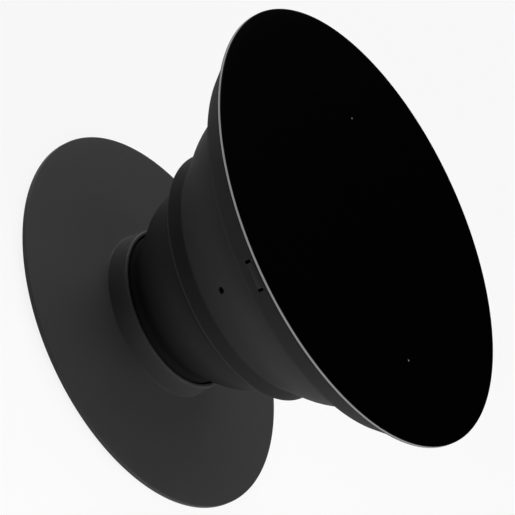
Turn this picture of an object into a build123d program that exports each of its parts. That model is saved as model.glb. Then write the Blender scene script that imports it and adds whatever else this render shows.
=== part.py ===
from build123d import *
import os

# Collapsible phone grip: a stick-on base with a raised collar, a soft stepped bellows that
# turns in the collar, and a round button with a metal face that pulls out and pushes flat.
# Millimetres, +Z up. The origin is the middle of the adhesive face.

# Whole grip, pulled out
grip_height = 23.62  # from the phone to the face

# Adhesive pad
pad_thickness = 0.5
pad_inset = 1.6  # the pad's edge stays this far behind the plate's edge

# Base plate and its collar
plate_radius = 17.6
plate_edge = 0.4  # thickness at the rim
plate_rise = 0.8  # climb of the top face from the rim to the collar
collar_height = 3.1  # from the plate's underside to the lip
collar_draft = 0.5  # the collar is wider at its foot
aperture_radius = 7.15
lip_width = 0.35

# Swivel foot of the bellows, and the hard plug inside it
neck_clearance = 0.15  # between the neck and the collar, on the radius
flange_step = 0.5  # the flange under the collar stands out this far past the neck
flange_thickness = 0.4
flange_clearance = 0.2
seat_clearance = 0.1
plug_lift = 0.15  # keeps the turning plug off the sticky pad
plug_floor = 0.35
plug_wall = 0.7
plug_height = 2.6
plug_clearance = 0.05

# Bellows, from the neck up
bellows_wall = 0.8  # measured on the radius
neck_rise = 0.8  # straight neck above the lip
lower_cup_rise = 3.3
lower_cup_step = 2.45
lower_wall_height = 3.6
lower_wall_lean = 0.6
ring_step = 1.53
ring_height = 1.45
ring_taper = 0.25  # the ring is narrower at its top
upper_cup_rise = 3.75
upper_wall_lean = 0.7
cuff_clearance = 0.1  # below the button's web
vent_radius = 0.35
vent_drop = 0.5  # below the upper cup's shoulder

# Button: carrier of the clip plate and the face
skirt_depth = 2.77  # from the rim to the skirt's lower edge
skirt_inset = 2.0  # the skirt's lower edge stands in from the rim
skirt_wall = 0.8
web_thickness = 0.8
recess_depth = 0.42  # holds the clip plate, flush with the rim
spigot_wall = 0.75
spigot_clearance = 0.1
barb_step = 0.3  # snap ledge round the spigot
barb_height = 0.75  # from the spigot's end up to the ledge

# Face disc
disc_radius = 20.0
disc_thickness = 0.35
rim_overhang = 0.25  # the face stands out past the button's rim

# Clip plate
clip_plate_clearance = 0.1
recess_inset = 1.65  # the recess stands in from the button's rim
clip_count = 4
clip_width = 2.2
clip_rise = 1.4  # the notch's lower edge stands above the skirt's
clip_gap = 0.25  # at the ends of a clip
leg_thickness = 0.7
leg_gap = 0.15
hook_height = 0.7
hook_reach = 0.4
cuff_gap = 1.1  # between the clip legs and the bellows' cuff

# Heights, from the adhesive face up
plate_z = pad_thickness
plate_edge_z = plate_z + plate_edge
plate_top_z = plate_edge_z + plate_rise
lip_z = plate_z + collar_height
plug_z = plate_z + plug_lift
foot_z = plug_z + plug_floor
seat_z = foot_z + flange_thickness + seat_clearance
neck_z = lip_z + neck_rise
lower_shoulder_z = neck_z + lower_cup_rise
ring_low_z = lower_shoulder_z + lower_wall_height
ring_high_z = ring_low_z + ring_height
upper_shoulder_z = ring_high_z + upper_cup_rise
rim_z = grip_height - disc_thickness
skirt_z = rim_z - skirt_depth
web_top_z = rim_z - recess_depth
web_low_z = web_top_z - web_thickness
barb_z = skirt_z + barb_height
cuff_z = web_low_z - cuff_clearance
clip_low_z = skirt_z + clip_rise
hook_top_z = web_low_z - leg_gap
hook_low_z = hook_top_z - hook_height

# Radii, from the axis out
pad_radius = plate_radius - pad_inset
collar_radius = aperture_radius + lip_width
collar_foot_radius = collar_radius + collar_draft
neck_radius = aperture_radius - neck_clearance
neck_bore = neck_radius - bellows_wall
flange_radius = neck_radius + flange_step
seat_radius = flange_radius + flange_clearance
plug_radius = neck_bore - plug_clearance
rim_radius = disc_radius - rim_overhang
skirt_radius = rim_radius - skirt_inset
recess_radius = rim_radius - recess_inset
clip_plate_radius = recess_radius - clip_plate_clearance
leg_outer = skirt_radius - skirt_wall - leg_gap
leg_inner = leg_outer - leg_thickness
hook_radius = leg_inner - hook_reach
cuff_radius = leg_inner - cuff_gap
cuff_bore = cuff_radius - bellows_wall
spigot_radius = cuff_bore - spigot_clearance
lower_shoulder_radius = neck_radius + lower_cup_step
crease_radius = lower_shoulder_radius + lower_wall_lean
ring_radius = crease_radius + ring_step
ring_top_radius = ring_radius - ring_taper
upper_shoulder_radius = cuff_radius - upper_wall_lean


def flank_radius(z):  # the skirt's outer side at a height
    return rim_radius - skirt_inset * (rim_z - z) / skirt_depth


# Adhesive pad: round foam tape
with BuildPart() as adhesive_pad:
    Cylinder(pad_radius, pad_thickness, align=(Align.CENTER, Align.CENTER, Align.MIN))

# Base plate: disc that thins to its rim, tapered collar, and a seat for the foot below
with BuildPart() as base_plate:
    with BuildSketch(Plane.XZ):
        with BuildLine():
            Polyline(
                (aperture_radius, seat_z),
                (aperture_radius, lip_z),
                (collar_radius, lip_z),
                (collar_foot_radius, plate_top_z),
                (plate_radius, plate_edge_z),
                (plate_radius, plate_z),
                (seat_radius, plate_z),
                (seat_radius, seat_z),
                close=True,
            )
        make_face()
    revolve(axis=Axis.Z)

# Foot plug: cup with a flange, pressed up into the foot of the bellows
with BuildPart() as foot_plug:
    with BuildSketch(Plane.XZ):
        with BuildLine():
            Polyline(
                (0, plug_z),
                (flange_radius, plug_z),
                (flange_radius, foot_z),
                (plug_radius, foot_z),
                (plug_radius, plug_z + plug_height),
                (plug_radius - plug_wall, plug_z + plug_height),
                (plug_radius - plug_wall, foot_z),
                (0, foot_z),
                close=True,
            )
        make_face()
    revolve(axis=Axis.Z)

# Bellows: foot flange, neck, lower cup, stiff ring, upper cup and cuff in one soft wall
outer_line = [
    (neck_radius, foot_z),
    (neck_radius, neck_z),
    (lower_shoulder_radius, lower_shoulder_z),
    (crease_radius, ring_low_z),
    (ring_radius, ring_low_z),
    (ring_top_radius, ring_high_z),
    (upper_shoulder_radius, upper_shoulder_z),
    (cuff_radius, skirt_z),
    (cuff_radius, cuff_z),
]
ledge_rise = [0, 0, 0, bellows_wall, bellows_wall, 0, 0, 0, 0]
inner_line = [(r - bellows_wall, z + rise) for (r, z), rise in zip(outer_line, ledge_rise)]
groove = [(cuff_bore + barb_step, barb_z), (cuff_bore, barb_z)]  # takes the spigot's snap ledge
inner_line = [*inner_line[:-1], *groove, inner_line[-1]]

with BuildPart() as bellows:
    with BuildSketch(Plane.XZ):
        with BuildLine():
            Polyline(*outer_line, *reversed(inner_line), close=True)
        make_face()
        with Locations((neck_bore, foot_z)):
            Rectangle(flange_radius - neck_bore, flange_thickness, align=Align.MIN)
    revolve(axis=Axis.Z)
    with BuildSketch(Plane.XZ):
        with Locations((0, upper_shoulder_z - vent_drop)):
            Circle(vent_radius)
    extrude(amount=cuff_radius, mode=Mode.SUBTRACT)

# Button: web with a recess above, a snap spigot below and a flaring skirt with clip notches
with BuildPart() as button:
    with BuildSketch(Plane.XZ):
        with BuildLine():
            Polyline(
                (0, web_low_z),
                (spigot_radius - spigot_wall, web_low_z),
                (spigot_radius - spigot_wall, skirt_z),
                (spigot_radius, skirt_z),
                (spigot_radius + barb_step, barb_z),
                (spigot_radius, barb_z),
                (spigot_radius, web_low_z),
                (flank_radius(web_low_z) - skirt_wall, web_low_z),
                (skirt_radius - skirt_wall, skirt_z),
                (skirt_radius, skirt_z),
                (rim_radius, rim_z),
                (recess_radius, rim_z),
                (recess_radius, web_top_z),
                (0, web_top_z),
                close=True,
            )
        make_face()
    revolve(axis=Axis.Z)
    with BuildSketch(Plane.XY.offset(rim_z)):
        with PolarLocations(leg_inner - leg_gap, clip_count, start_angle=-90):
            Rectangle(disc_radius - leg_inner, clip_width + 2 * clip_gap, align=(Align.MIN, Align.CENTER))
    extrude(amount=clip_low_z - leg_gap - rim_z, mode=Mode.SUBTRACT)

# One clip: a tab that fills its notch in the skirt, and a leg that hooks under the web
with BuildPart() as clip:
    with BuildSketch(Plane.XZ):
        with BuildLine():
            Polyline(
                (leg_inner, rim_z),
                (rim_radius, rim_z),
                (flank_radius(clip_low_z), clip_low_z),
                (leg_outer, clip_low_z),
                (leg_outer, hook_low_z),
                (hook_radius, hook_low_z),
                (hook_radius, hook_top_z),
                (leg_inner, hook_top_z),
                close=True,
            )
        make_face()
    extrude(amount=clip_width / 2, both=True)

# Clip plate: hard disc in the button's recess, with the clips below
with BuildPart() as clip_plate:
    with BuildSketch(Plane.XY.offset(web_top_z)):
        Circle(clip_plate_radius)
    extrude(amount=recess_depth)
    with PolarLocations(0, clip_count, start_angle=-90):
        add(clip.part)

# Face disc: punched sheet metal
with BuildPart() as face_disc:
    with BuildSketch(Plane.XY.offset(rim_z)):
        Circle(disc_radius)
    extrude(amount=disc_thickness)

os.makedirs("parts", exist_ok=True)
pieces = {
    "adhesive_pad": adhesive_pad,
    "base_plate": base_plate,
    "foot_plug": foot_plug,
    "bellows": bellows,
    "button": button,
    "clip_plate": clip_plate,
    "face_disc": face_disc,
}
for node, piece in pieces.items():
    piece.part.label = node
    export_step(piece.part, f"parts/{node}.step")
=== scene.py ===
import bpy
import bmesh
import math
import numpy
from mathutils import Matrix, Vector


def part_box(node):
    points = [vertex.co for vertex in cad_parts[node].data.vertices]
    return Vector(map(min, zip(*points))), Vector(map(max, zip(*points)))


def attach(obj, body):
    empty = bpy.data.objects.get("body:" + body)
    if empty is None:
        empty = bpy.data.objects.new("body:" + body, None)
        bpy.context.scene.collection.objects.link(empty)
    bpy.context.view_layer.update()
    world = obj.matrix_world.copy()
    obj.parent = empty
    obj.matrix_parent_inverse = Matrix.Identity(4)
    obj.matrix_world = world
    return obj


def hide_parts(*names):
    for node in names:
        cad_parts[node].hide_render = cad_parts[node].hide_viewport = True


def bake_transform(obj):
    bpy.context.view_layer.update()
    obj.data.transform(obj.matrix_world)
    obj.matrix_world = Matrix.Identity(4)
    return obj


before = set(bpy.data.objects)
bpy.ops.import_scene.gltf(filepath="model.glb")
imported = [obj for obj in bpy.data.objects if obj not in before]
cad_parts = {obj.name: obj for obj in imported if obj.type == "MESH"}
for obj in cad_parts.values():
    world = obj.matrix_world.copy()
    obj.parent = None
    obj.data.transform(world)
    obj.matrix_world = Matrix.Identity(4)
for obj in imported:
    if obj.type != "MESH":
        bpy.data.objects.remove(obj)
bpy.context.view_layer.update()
mm = 0.001  # sizes below are in millimetres
print("frame loaded:", ", ".join(sorted(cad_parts)))


def reach(node):  # radius, lowest and highest point of a round CAD piece, in mm
    low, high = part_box(node)
    return high.x / mm, low.z / mm, high.z / mm


# Mesh tools, with lengths in mm and angles in degrees
shaping = {
    "steps": 192,  # round the axis
    "roundSegments": 8, "bevelSegments": 3,
    "longestEdge": 0.8,  # along a profile
    "sharpAngle": 32, "mergeGap": 0.001,
    "slant": (1, 1.4142, 1.7321),  # a direction along which hardly any two corners are level
}


def roundCorner(form, point, radius):  # the bevel's offset is measured along the edges
    before, after = [edge.other_vert(point).co - point.co for edge in point.link_edges]
    turn = math.pi - before.angle(after)
    bmesh.ops.bevel(form, geom=[point], offset=radius * mm * math.tan(turn / 2), offset_type="OFFSET",
                    segments=shaping["roundSegments"], profile=0.5, affect="VERTICES", material=-1)


def turnProfile(corners, longestEdge=shaping["longestEdge"]):  # corners are (radius, height, round)
    form = bmesh.new()
    points = [form.verts.new((radius * mm, 0, height * mm)) for radius, height, blend in corners]
    for pair in zip(points, points[1:]):
        form.edges.new(pair)
    if corners[0][0] > 0:  # a profile that starts off the axis is a closed ring
        form.edges.new((points[-1], points[0]))
    for point, (radius, height, blend) in zip(points, corners):
        if blend:
            roundCorner(form, point, blend)
    for edge in form.edges[:]:
        cuts = int(edge.calc_length() / (longestEdge * mm))
        if cuts:
            bmesh.ops.subdivide_edges(form, edges=[edge], cuts=cuts)
    bmesh.ops.spin(form, geom=form.verts[:] + form.edges[:], cent=(0, 0, 0), axis=(0, 0, 1),
                   angle=2 * math.pi, steps=shaping["steps"], use_merge=True)
    return form


def addPrism(form, outline, width, turn, bevel=0):  # a (radius, height) outline made into a block
    corners = [form.verts.new((radius * mm, -width / 2 * mm, height * mm)) for radius, height in outline]
    grown = bmesh.ops.extrude_face_region(form, geom=[form.faces.new(corners)])["geom"]
    moved = [part for part in grown if isinstance(part, bmesh.types.BMVert)]
    bmesh.ops.translate(form, vec=(0, width * mm, 0), verts=moved)
    block = corners + moved
    if bevel:
        edges = dict.fromkeys(edge for corner in block for edge in corner.link_edges)  # each edge once
        made = bmesh.ops.bevel(form, geom=list(edges), offset=bevel * mm, offset_type="OFFSET",
                               segments=shaping["bevelSegments"], profile=0.5, affect="EDGES", material=-1)
        block = list(dict.fromkeys(corner for face in made["faces"] for corner in face.verts))
    bmesh.ops.transform(form, matrix=turn, verts=block)


def aroundAxis(count):  # one turn for each clip, the first on the -Y side
    return [Matrix.Rotation(math.tau * (i / count - 0.25), 4, "Z") for i in range(count)]


def shadeByHeight(piece, name, stops):  # a value at each vertex, from (height, value) stops
    heights = [vertex.co.z / mm for vertex in piece.data.vertices]
    values = piece.data.attributes.new(name, "FLOAT", "POINT")
    values.data.foreach_set("value", numpy.interp(heights, *zip(*stops)))


def softenShading(data):
    data.shade_smooth()
    data.set_sharp_from_angle(angle=math.radians(shaping["sharpAngle"]))


def orderMesh(form):  # the operators leave corners and faces in an order that changes from run to run
    slant = Vector(shaping["slant"])
    form.verts.sort(key=lambda corner: corner.co.dot(slant))
    form.verts.index_update()
    count = len(form.verts)

    def rank(face):  # one number from a face's three lowest corners
        first, second, third = sorted(corner.index for corner in face.verts)[:3]
        return (first * count + second) * count + third

    form.faces.sort(key=rank)


def makePiece(name, form, *finishes):
    bmesh.ops.remove_doubles(form, verts=form.verts, dist=shaping["mergeGap"] * mm)
    orderMesh(form)
    bmesh.ops.recalc_face_normals(form, faces=form.faces)
    data = bpy.data.meshes.new(name)
    form.to_mesh(data)
    form.free()
    softenShading(data)
    for finish in finishes:
        data.materials.append(finish)
    piece = bpy.data.objects.new(name, data)
    bpy.context.scene.collection.objects.link(piece)
    return piece


def combine(piece, form, operation):  # cuts the form out of the piece, or joins it on
    tool = makePiece("tool", form)
    step = piece.modifiers.new(operation.lower(), "BOOLEAN")
    step.operation = operation
    step.solver = "EXACT"
    step.object = tool
    shaped = piece.evaluated_get(bpy.context.evaluated_depsgraph_get())
    data = bpy.data.meshes.new_from_object(shaped)
    piece.modifiers.clear()
    data.name = piece.name
    piece.data = data
    softenShading(data)
    bpy.data.objects.remove(tool)


# Material tools
mixFactor, mixA, mixB, mixResult = 0, 6, 7, 2  # the sockets of a Mix node that mixes colours
noiseDetail = {"grain": 3, "cloud": 2, "peel": 1, "line": 2}


def linear(hexColour):  # sRGB hex to the linear colour that a shader takes
    channels = [int(hexColour[i:i + 2], 16) / 255 for i in (1, 3, 5)]
    return [c / 12.92 if c <= 0.04045 else ((c + 0.055) / 1.055) ** 2.4 for c in channels] + [1]


def addNode(tree, kind, inputs={}, links={}, **settings):
    node = tree.nodes.new(kind)
    for name, value in settings.items():
        setattr(node, name, value)
    for socket, value in inputs.items():
        node.inputs[socket].default_value = value
    for socket, source in links.items():
        tree.links.new(source, node.inputs[socket])
    return node


def newFinish(name):  # an empty material and its nodes
    finish = bpy.data.materials.new(name)
    finish.use_nodes = True
    finish.node_tree.nodes.clear()
    return finish, finish.node_tree


# Grain and cloud are sizes in mm. Real mould grain is about 0.05 mm, and is drawn coarser so that it shows.
def mouldedFinish(name, look):
    finish, tree = newFinish(name)
    place = addNode(tree, "ShaderNodeTexCoord").outputs["Object"]
    grain = addNode(tree, "ShaderNodeTexNoise",
                    {"Scale": 1 / (look["grain"] * mm), "Detail": noiseDetail["grain"]}, {"Vector": place})
    cloud = addNode(tree, "ShaderNodeTexNoise",
                    {"Scale": 1 / (look["cloud"] * mm), "Detail": noiseDetail["cloud"]}, {"Vector": place})
    tone = addNode(tree, "ShaderNodeMix", {mixA: linear(look["deep"]), mixB: linear(look["pale"])},
                   {mixFactor: cloud.outputs["Fac"]}, data_type="RGBA")
    # a value at each vertex multiplies the tone: painted shade and highlight
    if "shade" in look:  # the name of a value at each vertex, which darkens or lightens the tone
        shade = addNode(tree, "ShaderNodeAttribute", attribute_name=look["shade"])
        tone = addNode(tree, "ShaderNodeMix", {mixFactor: 1},
                       {mixA: tone.outputs[mixResult], mixB: shade.outputs["Color"]},
                       data_type="RGBA", blend_type="MULTIPLY")
    rough = addNode(tree, "ShaderNodeMapRange", {"To Min": look["smooth"], "To Max": look["rough"]},
                    {"Value": grain.outputs["Fac"]})
    bump = addNode(tree, "ShaderNodeBump", {"Strength": look["bump"], "Distance": look["relief"] * mm},
                   {"Height": grain.outputs["Fac"]})
    shader = addNode(tree, "ShaderNodeBsdfPrincipled",
                     {"IOR": look["ior"], "Specular IOR Level": look["specular"]},
                     {"Base Color": tone.outputs[mixResult], "Roughness": rough.outputs[0],
                      "Normal": bump.outputs[0]})
    addNode(tree, "ShaderNodeOutputMaterial", links={"Surface": shader.outputs[0]})
    return finish


# Adhesive pad: black acrylic foam tape, die cut, whose closed cells give a dull pitted skin
adhesivePad = {
    "edgeRound": 0.08,
    "foam": {"deep": "#141414", "pale": "#1c1c1c", "grain": 0.35, "cloud": 5, "smooth": 0.55,
             "rough": 0.8, "bump": 0.5, "relief": 0.05, "ior": 1.48, "specular": 0.4},
}
padRadius, padLow, padTop = reach("adhesive_pad")
padProfile = [
    (0, padLow, 0),
    (padRadius, padLow, adhesivePad["edgeRound"]),
    (padRadius, padTop, adhesivePad["edgeRound"]),
    (0, padTop, 0),
]
foamTape = mouldedFinish("acrylicFoamTape", adhesivePad["foam"])
pad = makePiece("adhesivePad", turnProfile(padProfile), foamTape)
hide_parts("adhesive_pad")
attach(pad, "base")
print("adhesive pad made")

# Base plate: polycarbonate moulded in a spark-eroded tool, an even dark grey with a fine soft grain
basePlate = {
    "edge": 0.4, "rise": 0.8, "edgeRound": 0.07,
    "apertureRadius": 7.15, "lipWidth": 0.35, "lipRound": 0.12,
    "collarDraft": 0.15, "collarBlend": 0.05,  # steeper than the solid's collar, as the photograph shows
    "seatRadius": 7.7, "seatHeight": 1,
    "plastic": {"deep": "#343435", "pale": "#383839", "grain": 0.22, "cloud": 7, "smooth": 0.55,
                "rough": 0.68, "bump": 0.25, "relief": 0.012, "ior": 1.58, "specular": 0.2},
}
plateRadius, plateLow, lipTop = reach("base_plate")
collarRadius = basePlate["apertureRadius"] + basePlate["lipWidth"]
edgeTop = plateLow + basePlate["edge"]
seatTop = plateLow + basePlate["seatHeight"]
plateProfile = [
    (basePlate["apertureRadius"], seatTop, 0),
    (basePlate["apertureRadius"], lipTop, basePlate["lipRound"]),
    (collarRadius, lipTop, basePlate["lipRound"]),
    (collarRadius + basePlate["collarDraft"], edgeTop + basePlate["rise"], basePlate["collarBlend"]),
    (plateRadius, edgeTop, basePlate["edgeRound"]),
    (plateRadius, plateLow, basePlate["edgeRound"]),
    (basePlate["seatRadius"], plateLow, 0),
    (basePlate["seatRadius"], seatTop, 0),
]
basePlastic = mouldedFinish("satinPolycarbonate", basePlate["plastic"])
plate = makePiece("basePlate", turnProfile(plateProfile), basePlastic)
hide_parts("base_plate")
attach(plate, "base")
print("base plate made")

# Foot plug: hidden in the bellows, so the CAD piece stays, in the base plate's plastic
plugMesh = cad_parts["foot_plug"].data
plugMesh.materials.clear()
plugMesh.materials.append(basePlastic)
print("foot plug finished")

# Bellows: thermoplastic polyurethane with a satin skin; painted shade, deepest at the neck, lifts towards
# the cuff, with painted shade under the ring and on its band, and a painted highlight on its lower edge
bellows = {
    "wall": 0.8, "flangeRadius": 7.5, "flangeHeight": 0.4,
    "neckRadius": 7, "neckTop": 4.4, "neckBlend": 1.2,
    "lowerShoulder": (9.45, 7.7), "lowerBlend": 5,
    "crease": (10.05, 11.3), "creaseBlend": 0.3,
    "ringRadius": 11.58, "ringTop": (11.33, 12.75), "ringRound": 0.2,
    "upperShoulder": (14.3, 16.5), "upperBlend": 8,
    "cuffLow": 20.5, "cuffBlend": 1, "grooveStep": 0.3, "grooveTop": 21.25,
    "foldStart": 2.2, "foldEnd": 22, "longestEdge": 0.35,
    "ventHeight": 16, "ventRadius": 0.31, "ventSides": 32,
    # painted shade and highlight: shares of the rubber's tone, and the heights over which they fade
    "neckShade": 0.25, "neckFade": 1.4, "cupShade": 0.57, "paintedWallShading": 0.7,
    "creaseShade": 0.52, "creaseFade": (1.1, 0.8), "paintedEdgeShading": 1.2, "edgeFade": (0.12, 0.22),
    "ringShade": 0.45, "upperShade": 0.9, "upperFade": 0.1,
    "rubber": {"deep": "#383839", "pale": "#3c3c3d", "grain": 0.3, "cloud": 5, "smooth": 0.55,
               "rough": 0.65, "bump": 0.15, "relief": 0.01, "ior": 1.5, "specular": 0.04,
               "shade": "paintedWallShading"},
}
cuffRadius, footLow, cuffTop = reach("bellows")
neckFoot = footLow + bellows["flangeHeight"]
outerLine = [
    (bellows["neckRadius"], neckFoot, 0, 0),
    (bellows["neckRadius"], bellows["neckTop"], bellows["neckBlend"], 0),
    (*bellows["lowerShoulder"], bellows["lowerBlend"], 0),
    (*bellows["crease"], bellows["creaseBlend"], bellows["wall"]),
    (bellows["ringRadius"], bellows["crease"][1], bellows["ringRound"], bellows["wall"]),
    (*bellows["ringTop"], bellows["creaseBlend"], 0),
    (*bellows["upperShoulder"], bellows["upperBlend"], 0),
    (cuffRadius, bellows["cuffLow"], bellows["cuffBlend"], 0),
    (cuffRadius, cuffTop, 0, 0),
]  # radius, height, round, and how far the wall's inner side stands higher
footLine = [
    (bellows["neckRadius"] - bellows["wall"], footLow, 0),
    (bellows["flangeRadius"], footLow, 0),
    (bellows["flangeRadius"], neckFoot, 0),
]
cuffBore = cuffRadius - bellows["wall"]
innerLine = [(radius - bellows["wall"], height + lift, blend)
             for radius, height, blend, lift in outerLine[1:-1]]
innerLine += [
    (cuffBore + bellows["grooveStep"], bellows["grooveTop"], 0),
    (cuffBore, bellows["grooveTop"], 0),
    (cuffBore, cuffTop, 0),
]
wallProfile = footLine + [corner[:3] for corner in outerLine] + innerLine[::-1]
softRubber = mouldedFinish("softPolyurethane", bellows["rubber"])
cone = makePiece("bellowsCone", turnProfile(wallProfile, bellows["longestEdge"]), softRubber)
drill = bmesh.new()
ventReach = bellows["upperShoulder"][0] * mm
bmesh.ops.create_cone(drill, cap_ends=True, segments=bellows["ventSides"], depth=ventReach,
                      radius1=bellows["ventRadius"] * mm, radius2=bellows["ventRadius"] * mm,
                      matrix=Matrix.Translation((0, -ventReach, bellows["ventHeight"] * mm))
                      @ Matrix.Rotation(math.pi / 2, 4, "X"))
combine(cone, drill, "DIFFERENCE")
ringLow, ringHigh = bellows["crease"][1], bellows["ringTop"][1]
# painted shade and highlight at each vertex by height: dark neck, shade under the ring, highlight on its
# edge
shadeByHeight(cone, bellows["rubber"]["shade"], [
    (bellows["neckTop"], bellows["neckShade"]),
    (bellows["neckTop"] + bellows["neckFade"], bellows["cupShade"]),
    (ringLow - bellows["creaseFade"][0], bellows["paintedWallShading"]),
    (ringLow - bellows["creaseFade"][1], bellows["creaseShade"]),
    (ringLow, bellows["paintedEdgeShading"]),
    (ringLow + bellows["edgeFade"][0], bellows["paintedEdgeShading"]),
    (ringLow + bellows["edgeFade"][1], bellows["ringShade"]),
    (ringHigh - bellows["upperFade"], bellows["ringShade"]),
    (ringHigh + bellows["upperFade"], bellows["upperShade"]),
    (bellows["cuffLow"], 1),
])
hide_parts("bellows")
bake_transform(cone)
print("bellows made:", len(cone.data.polygons), "faces")

# Button: polycarbonate carrier, darker and duller than the base, with a painted highlight along the skirt's
# lower edge
button = {
    "webHeight": 22.05, "webThickness": 0.8, "webBlend": 0.2, "recessRadius": 18.1,
    "rimRound": 0.05, "skirtInset": 2, "skirtWall": 0.8, "skirtRound": 0.12,
    "spigotRadius": 14.1, "spigotWall": 0.75, "barbStep": 0.3, "barbHeight": 0.75,
    # painted highlight on the skirt's lower edge, and the heights over which it fades
    "paintedEdgeShading": 1.5, "edgeFade": (0.08, 0.16),
    "plastic": {"deep": "#2a2a2b", "pale": "#2e2e2f", "grain": 0.2, "cloud": 6, "smooth": 0.6,
                "rough": 0.7, "bump": 0.2, "relief": 0.01, "ior": 1.58, "specular": 0.02,
                "shade": "paintedEdgeShading"},
}
clips = {
    "count": 4, "width": 2.2, "rise": 1.4, "edgeRound": 0.07,
    "gap": 0.15, "endGap": 0.25, "lowGap": 0.02, "topGap": 0.05, "plateGap": 0.1,
    "leg": (16.1, 16.8), "hookRadius": 15.7, "hookHeight": 0.7,
    # painted highlight on the tabs' lower edges, fading to painted shade at their tops under the rim
    "lowHighlight": 1.6, "topShade": 0.65,
}
rimRadius = reach("clip_plate")[0]  # the clips reach out to the button's rim
skirtLow, rimTop = reach("button")[1:]
webLow = button["webHeight"]
webTop = webLow + button["webThickness"]
skirtRadius = rimRadius - button["skirtInset"]
spigotInner = button["spigotRadius"] - button["spigotWall"]
barbTop = skirtLow + button["barbHeight"]


def flankRadius(height):  # the skirt's outer side at a height
    return rimRadius - button["skirtInset"] * (rimTop - height) / (rimTop - skirtLow)


buttonProfile = [
    (0, webTop, 0),
    (button["recessRadius"], webTop, 0),
    (button["recessRadius"], rimTop, 0),
    (rimRadius, rimTop, button["rimRound"]),
    (skirtRadius, skirtLow, button["skirtRound"]),
    (skirtRadius - button["skirtWall"], skirtLow, button["skirtRound"]),
    (flankRadius(webLow) - button["skirtWall"], webLow, button["webBlend"]),
    (button["spigotRadius"], webLow, 0),
    (button["spigotRadius"], barbTop, 0),
    (button["spigotRadius"] + button["barbStep"], barbTop, 0),
    (button["spigotRadius"], skirtLow, 0),
    (spigotInner, skirtLow, 0),
    (spigotInner, webLow, 0),
    (0, webLow, 0),
]
clipLow = skirtLow + clips["rise"]
legInner, legOuter = clips["leg"]
notchOutline = [
    (legInner - clips["gap"], clipLow - clips["lowGap"]),
    (rimRadius + clips["gap"], clipLow - clips["lowGap"]),
    (rimRadius + clips["gap"], rimTop + clips["gap"]),
    (legInner - clips["gap"], rimTop + clips["gap"]),
]
notches = bmesh.new()
for turn in aroundAxis(clips["count"]):
    addPrism(notches, notchOutline, clips["width"] + 2 * clips["endGap"], turn)
buttonPlastic = mouldedFinish("finePolycarbonate", button["plastic"])
carrier = makePiece("buttonCarrier", turnProfile(buttonProfile), buttonPlastic)
combine(carrier, notches, "DIFFERENCE")
# painted highlight along the skirt's lower edge
shadeByHeight(carrier, button["plastic"]["shade"], [
    (skirtLow + button["edgeFade"][0], button["paintedEdgeShading"]),
    (skirtLow + button["edgeFade"][1], 1),
])
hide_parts("button")
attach(carrier, "face")
print("button made:", len(carrier.data.polygons), "faces")

# Clip plate: disc in the button's recess, with four tabs that fill the notches and hook under the web
discRadius = button["recessRadius"] - clips["plateGap"]
discProfile = [(0, webTop, 0), (discRadius, webTop, 0), (discRadius, rimTop, 0), (0, rimTop, 0)]
tabTop = rimTop - clips["topGap"]
hookTop = webLow - clips["gap"]
hookLow = hookTop - clips["hookHeight"]
clipOutline = [
    (legInner, tabTop),
    (flankRadius(tabTop), tabTop),
    (flankRadius(clipLow), clipLow),
    (legOuter, clipLow),
    (legOuter, hookLow),
    (clips["hookRadius"], hookLow),
    (clips["hookRadius"], hookTop),
    (legInner, hookTop),
]
tabs = bmesh.new()
for turn in aroundAxis(clips["count"]):
    addPrism(tabs, clipOutline, clips["width"], turn, clips["edgeRound"])
clipDisc = makePiece("clipPlate", turnProfile(discProfile), buttonPlastic)
combine(clipDisc, tabs, "UNION")
# painted highlight on the tabs' lower edges, fading to painted shade under the rim
shadeByHeight(clipDisc, button["plastic"]["shade"], [
    (clipLow, clips["lowHighlight"]),
    (tabTop, clips["topShade"]),
])
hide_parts("clip_plate")
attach(clipDisc, "face")
print("clip plate made:", len(clipDisc.data.polygons), "faces")

# Face disc: sheet aluminium under a black coat over its face and top edge, with a bare cut band on the
# side;
# the black on the side below that band is painted shade under the disc's overhang
faceDisc = {
    # the bare band starts 0.1 mm up the side, and the black below it is painted shade
    "edgeRound": 0.05, "bareBand": (0.1, 0.285),
    "coat": {"colour": "#010101", "roughness": 0.3, "specular": 0.03, "peel": 1.2, "bump": 0.05,
             "relief": 0.004},
    "edge": {"deep": "#85868a", "pale": "#97989b", "roughness": 0.42, "line": 0.05, "bump": 0.2,
             "relief": 0.004},
    "dust": [(-8.8, 6.49), (11.93, -3.17)], "dustSize": 0.15, "dustColour": "#9a9a9a",
}
faceRadius, faceLow, faceTop = reach("face_disc")


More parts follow.
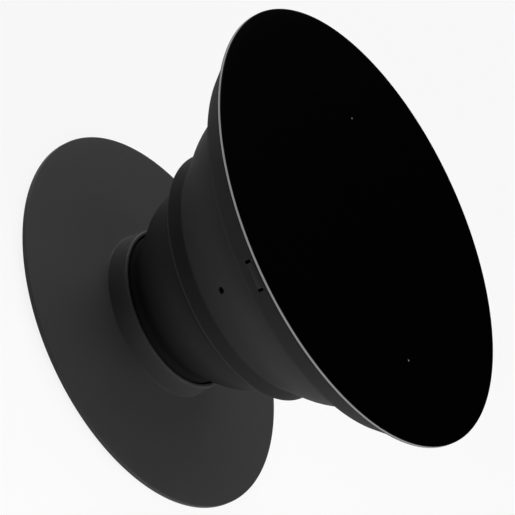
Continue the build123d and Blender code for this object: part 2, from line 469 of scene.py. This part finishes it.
# the same black is also painted shade on the lowest part of the disc's side
def coatAndShadeFinish(look):  # sprayed and cured: a deep black with a barely wavy skin and two specks of dust
    finish, tree = newFinish("blackCoatAndEdgeShade")
    place = addNode(tree, "ShaderNodeTexCoord").outputs["Object"]
    peel = addNode(tree, "ShaderNodeTexNoise",
                   {"Scale": 1 / (look["peel"] * mm), "Detail": noiseDetail["peel"]}, {"Vector": place})
    bump = addNode(tree, "ShaderNodeBump", {"Strength": look["bump"], "Distance": look["relief"] * mm},
                   {"Height": peel.outputs["Fac"]})
    below = {}  # the tone that the next speck lies on
    for x, y in faceDisc["dust"]:
        away = addNode(tree, "ShaderNodeVectorMath", {1: (x * mm, y * mm, faceTop * mm)}, {0: place},
                       operation="DISTANCE")
        speck = addNode(tree, "ShaderNodeMapRange", {"From Min": faceDisc["dustSize"] * mm, "From Max": 0},
                        {"Value": away.outputs["Value"]}, interpolation_type="SMOOTHSTEP")
        tone = addNode(tree, "ShaderNodeMix",
                       {mixA: linear(look["colour"]), mixB: linear(faceDisc["dustColour"])},
                       {mixFactor: speck.outputs[0], **below}, data_type="RGBA")
        below = {mixA: tone.outputs[mixResult]}
    shader = addNode(tree, "ShaderNodeBsdfPrincipled",
                     {"Roughness": look["roughness"], "Specular IOR Level": look["specular"]},
                     {"Base Color": tone.outputs[mixResult], "Normal": bump.outputs[0]})
    addNode(tree, "ShaderNodeOutputMaterial", links={"Surface": shader.outputs[0]})
    return finish


def edgeFinish(look):  # turned edge: dull silver with fine lines that run round the rim
    finish, tree = newFinish("bareAluminium")
    place = addNode(tree, "ShaderNodeTexCoord").outputs["Object"]
    flat = addNode(tree, "ShaderNodeMapping", {"Scale": (0, 0, 1)}, {"Vector": place})
    lines = addNode(tree, "ShaderNodeTexNoise",
                    {"Scale": 1 / (look["line"] * mm), "Detail": noiseDetail["line"]},
                    {"Vector": flat.outputs[0]})
    tone = addNode(tree, "ShaderNodeMix", {mixA: linear(look["deep"]), mixB: linear(look["pale"])},
                   {mixFactor: lines.outputs["Fac"]}, data_type="RGBA")
    bump = addNode(tree, "ShaderNodeBump", {"Strength": look["bump"], "Distance": look["relief"] * mm},
                   {"Height": lines.outputs["Fac"]})
    shader = addNode(tree, "ShaderNodeBsdfPrincipled", {"Metallic": 1, "Roughness": look["roughness"]},
                     {"Base Color": tone.outputs[mixResult], "Normal": bump.outputs[0]})
    addNode(tree, "ShaderNodeOutputMaterial", links={"Surface": shader.outputs[0]})
    return finish


faceProfile = [
    (0, faceLow, 0),
    (faceRadius, faceLow, faceDisc["edgeRound"]),
    *[(faceRadius, faceLow + height, 0) for height in faceDisc["bareBand"]],
    (faceRadius, faceTop, faceDisc["edgeRound"]),
    (0, faceTop, 0),
]
face = makePiece("faceDisc", turnProfile(faceProfile), coatAndShadeFinish(faceDisc["coat"]),
                 edgeFinish(faceDisc["edge"]))
# polygons on the side below the bare band keep the black coat as painted shade
bareLow, bareHigh = faceDisc["bareBand"]
for polygon in face.data.polygons:  # the second finish goes on the bare band
    polygon.material_index = int(bareLow < polygon.center.z / mm - faceLow < bareHigh)
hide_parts("face_disc")
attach(face, "face")
print("face disc made")

# Studio: white floor, soft lamps, and a surround that stays dim, because the gloss face mirrors it
studio = {
    "floorReach": 3, "floorColour": "#f2f2f2",
    "whiteShare": 0.88,  # of the floor as the camera sees it, and the rest shows the shadow
    "surroundLow": 0.02, "surroundHigh": 0, "surroundBlend": (0.08, 0.2),
    "lamps": {  # place and aim in m, size in m, power in W
        "backLeftLamp": ((-0.51, 0.44, 0.3), (0, 0, 0), 0.8, 4.9),
        "backRightLamp": ((0.5, 0.45, 0.3), (0, 0, 0), 0.4, 1.1),
        "leftLamp": ((-0.5, -0.12, 0.38), (0, 0, 0), 0.45, 0.3),
        # small lamps that face down, for the light that the white ground throws back
        "groundLamp": ((0.1, -0.02, 0.06), (0.1, -0.02, 0), 0.12, 0.05),
        "nearGroundLamp": ((0.06, -0.05, 0.05), (0.06, -0.05, 0), 0.08, 0.044),
    },
}
floorFinish, tree = newFinish("paperFloor")
paper = addNode(tree, "ShaderNodeBsdfDiffuse", {"Color": linear(studio["floorColour"])})
white = addNode(tree, "ShaderNodeEmission", {"Strength": 1})
ray = addNode(tree, "ShaderNodeLightPath")
seen = addNode(tree, "ShaderNodeMath", operation="MAXIMUM",
               links={0: ray.outputs["Is Camera Ray"], 1: ray.outputs["Is Glossy Ray"]})
seenAll = addNode(tree, "ShaderNodeMath", operation="MAXIMUM",
                  links={0: seen.outputs[0], 1: ray.outputs["Is Transmission Ray"]})
share = addNode(tree, "ShaderNodeMath", {1: studio["whiteShare"]}, {0: seenAll.outputs[0]},
                operation="MULTIPLY")
mixed = addNode(tree, "ShaderNodeMixShader",
                links={0: share.outputs[0], 1: paper.outputs[0], 2: white.outputs[0]})
addNode(tree, "ShaderNodeOutputMaterial", links={"Surface": mixed.outputs[0]})
sheet = bmesh.new()
bmesh.ops.create_grid(sheet, x_segments=1, y_segments=1, size=studio["floorReach"])
floor = makePiece("floor", sheet, floorFinish)

world = bpy.data.worlds.new("studioSurround")
bpy.context.scene.world = world
world.use_nodes = True
tree = world.node_tree
tree.nodes.clear()
direction = addNode(tree, "ShaderNodeTexCoord").outputs["Generated"]
skyward = addNode(tree, "ShaderNodeSeparateXYZ", links={0: direction})
blendLow, blendHigh = studio["surroundBlend"]
glow = addNode(tree, "ShaderNodeMapRange",
               {"From Min": blendLow, "From Max": blendHigh, "To Min": studio["surroundLow"],
                "To Max": studio["surroundHigh"]},
               {"Value": skyward.outputs["Z"]}, interpolation_type="SMOOTHSTEP")
surround = addNode(tree, "ShaderNodeBackground", {"Color": (1, 1, 1, 1)}, {"Strength": glow.outputs[0]})
addNode(tree, "ShaderNodeOutputWorld", links={"Surface": surround.outputs[0]})

for name, (spot, aim, size, power) in studio["lamps"].items():
    lamp = bpy.data.lights.new(name, "AREA")
    lamp.shape = "DISK"
    lamp.size = size
    lamp.energy = power
    holder = bpy.data.objects.new(name, lamp)
    holder.location = spot
    holder.rotation_euler = (Vector(aim) - Vector(spot)).to_track_quat("-Z", "Y").to_euler()
    bpy.context.scene.collection.objects.link(holder)
print("studio lit")

# Camera: fitted to the photograph, lengths in mm, angles in degrees
photoView = {"pixels": 515, "focalPixels": 2564.6, "elevation": 28.609, "roll": 65.37, "distance": 224,
             "aimHeight": 11, "slideRight": 0.982, "slideUp": 1.778, "sensor": 36, "nearest": 10}
elevation = math.radians(photoView["elevation"])
roll = math.radians(photoView["roll"])
back = Vector((0, -math.cos(elevation), math.sin(elevation)))
level = Vector((1, 0, 0))
upward = back.cross(level)
right = level * math.cos(roll) + upward * math.sin(roll)
up = upward * math.cos(roll) - level * math.sin(roll)
spot = Vector((0, 0, photoView["aimHeight"])) + back * photoView["distance"]
spot += right * photoView["slideRight"] + up * photoView["slideUp"]
lens = bpy.data.cameras.new("photoCamera")
lens.sensor_width = photoView["sensor"]
lens.lens = photoView["focalPixels"] / photoView["pixels"] * photoView["sensor"]
lens.clip_start = photoView["nearest"] * mm
camera = bpy.data.objects.new("photoCamera", lens)
camera.matrix_world = Matrix.Translation(spot * mm) @ Matrix((right, up, back)).transposed().to_4x4()
bpy.context.scene.collection.objects.link(camera)
bpy.context.scene.camera = camera
bpy.context.scene.view_settings.view_transform = "Standard"
print("camera placed")
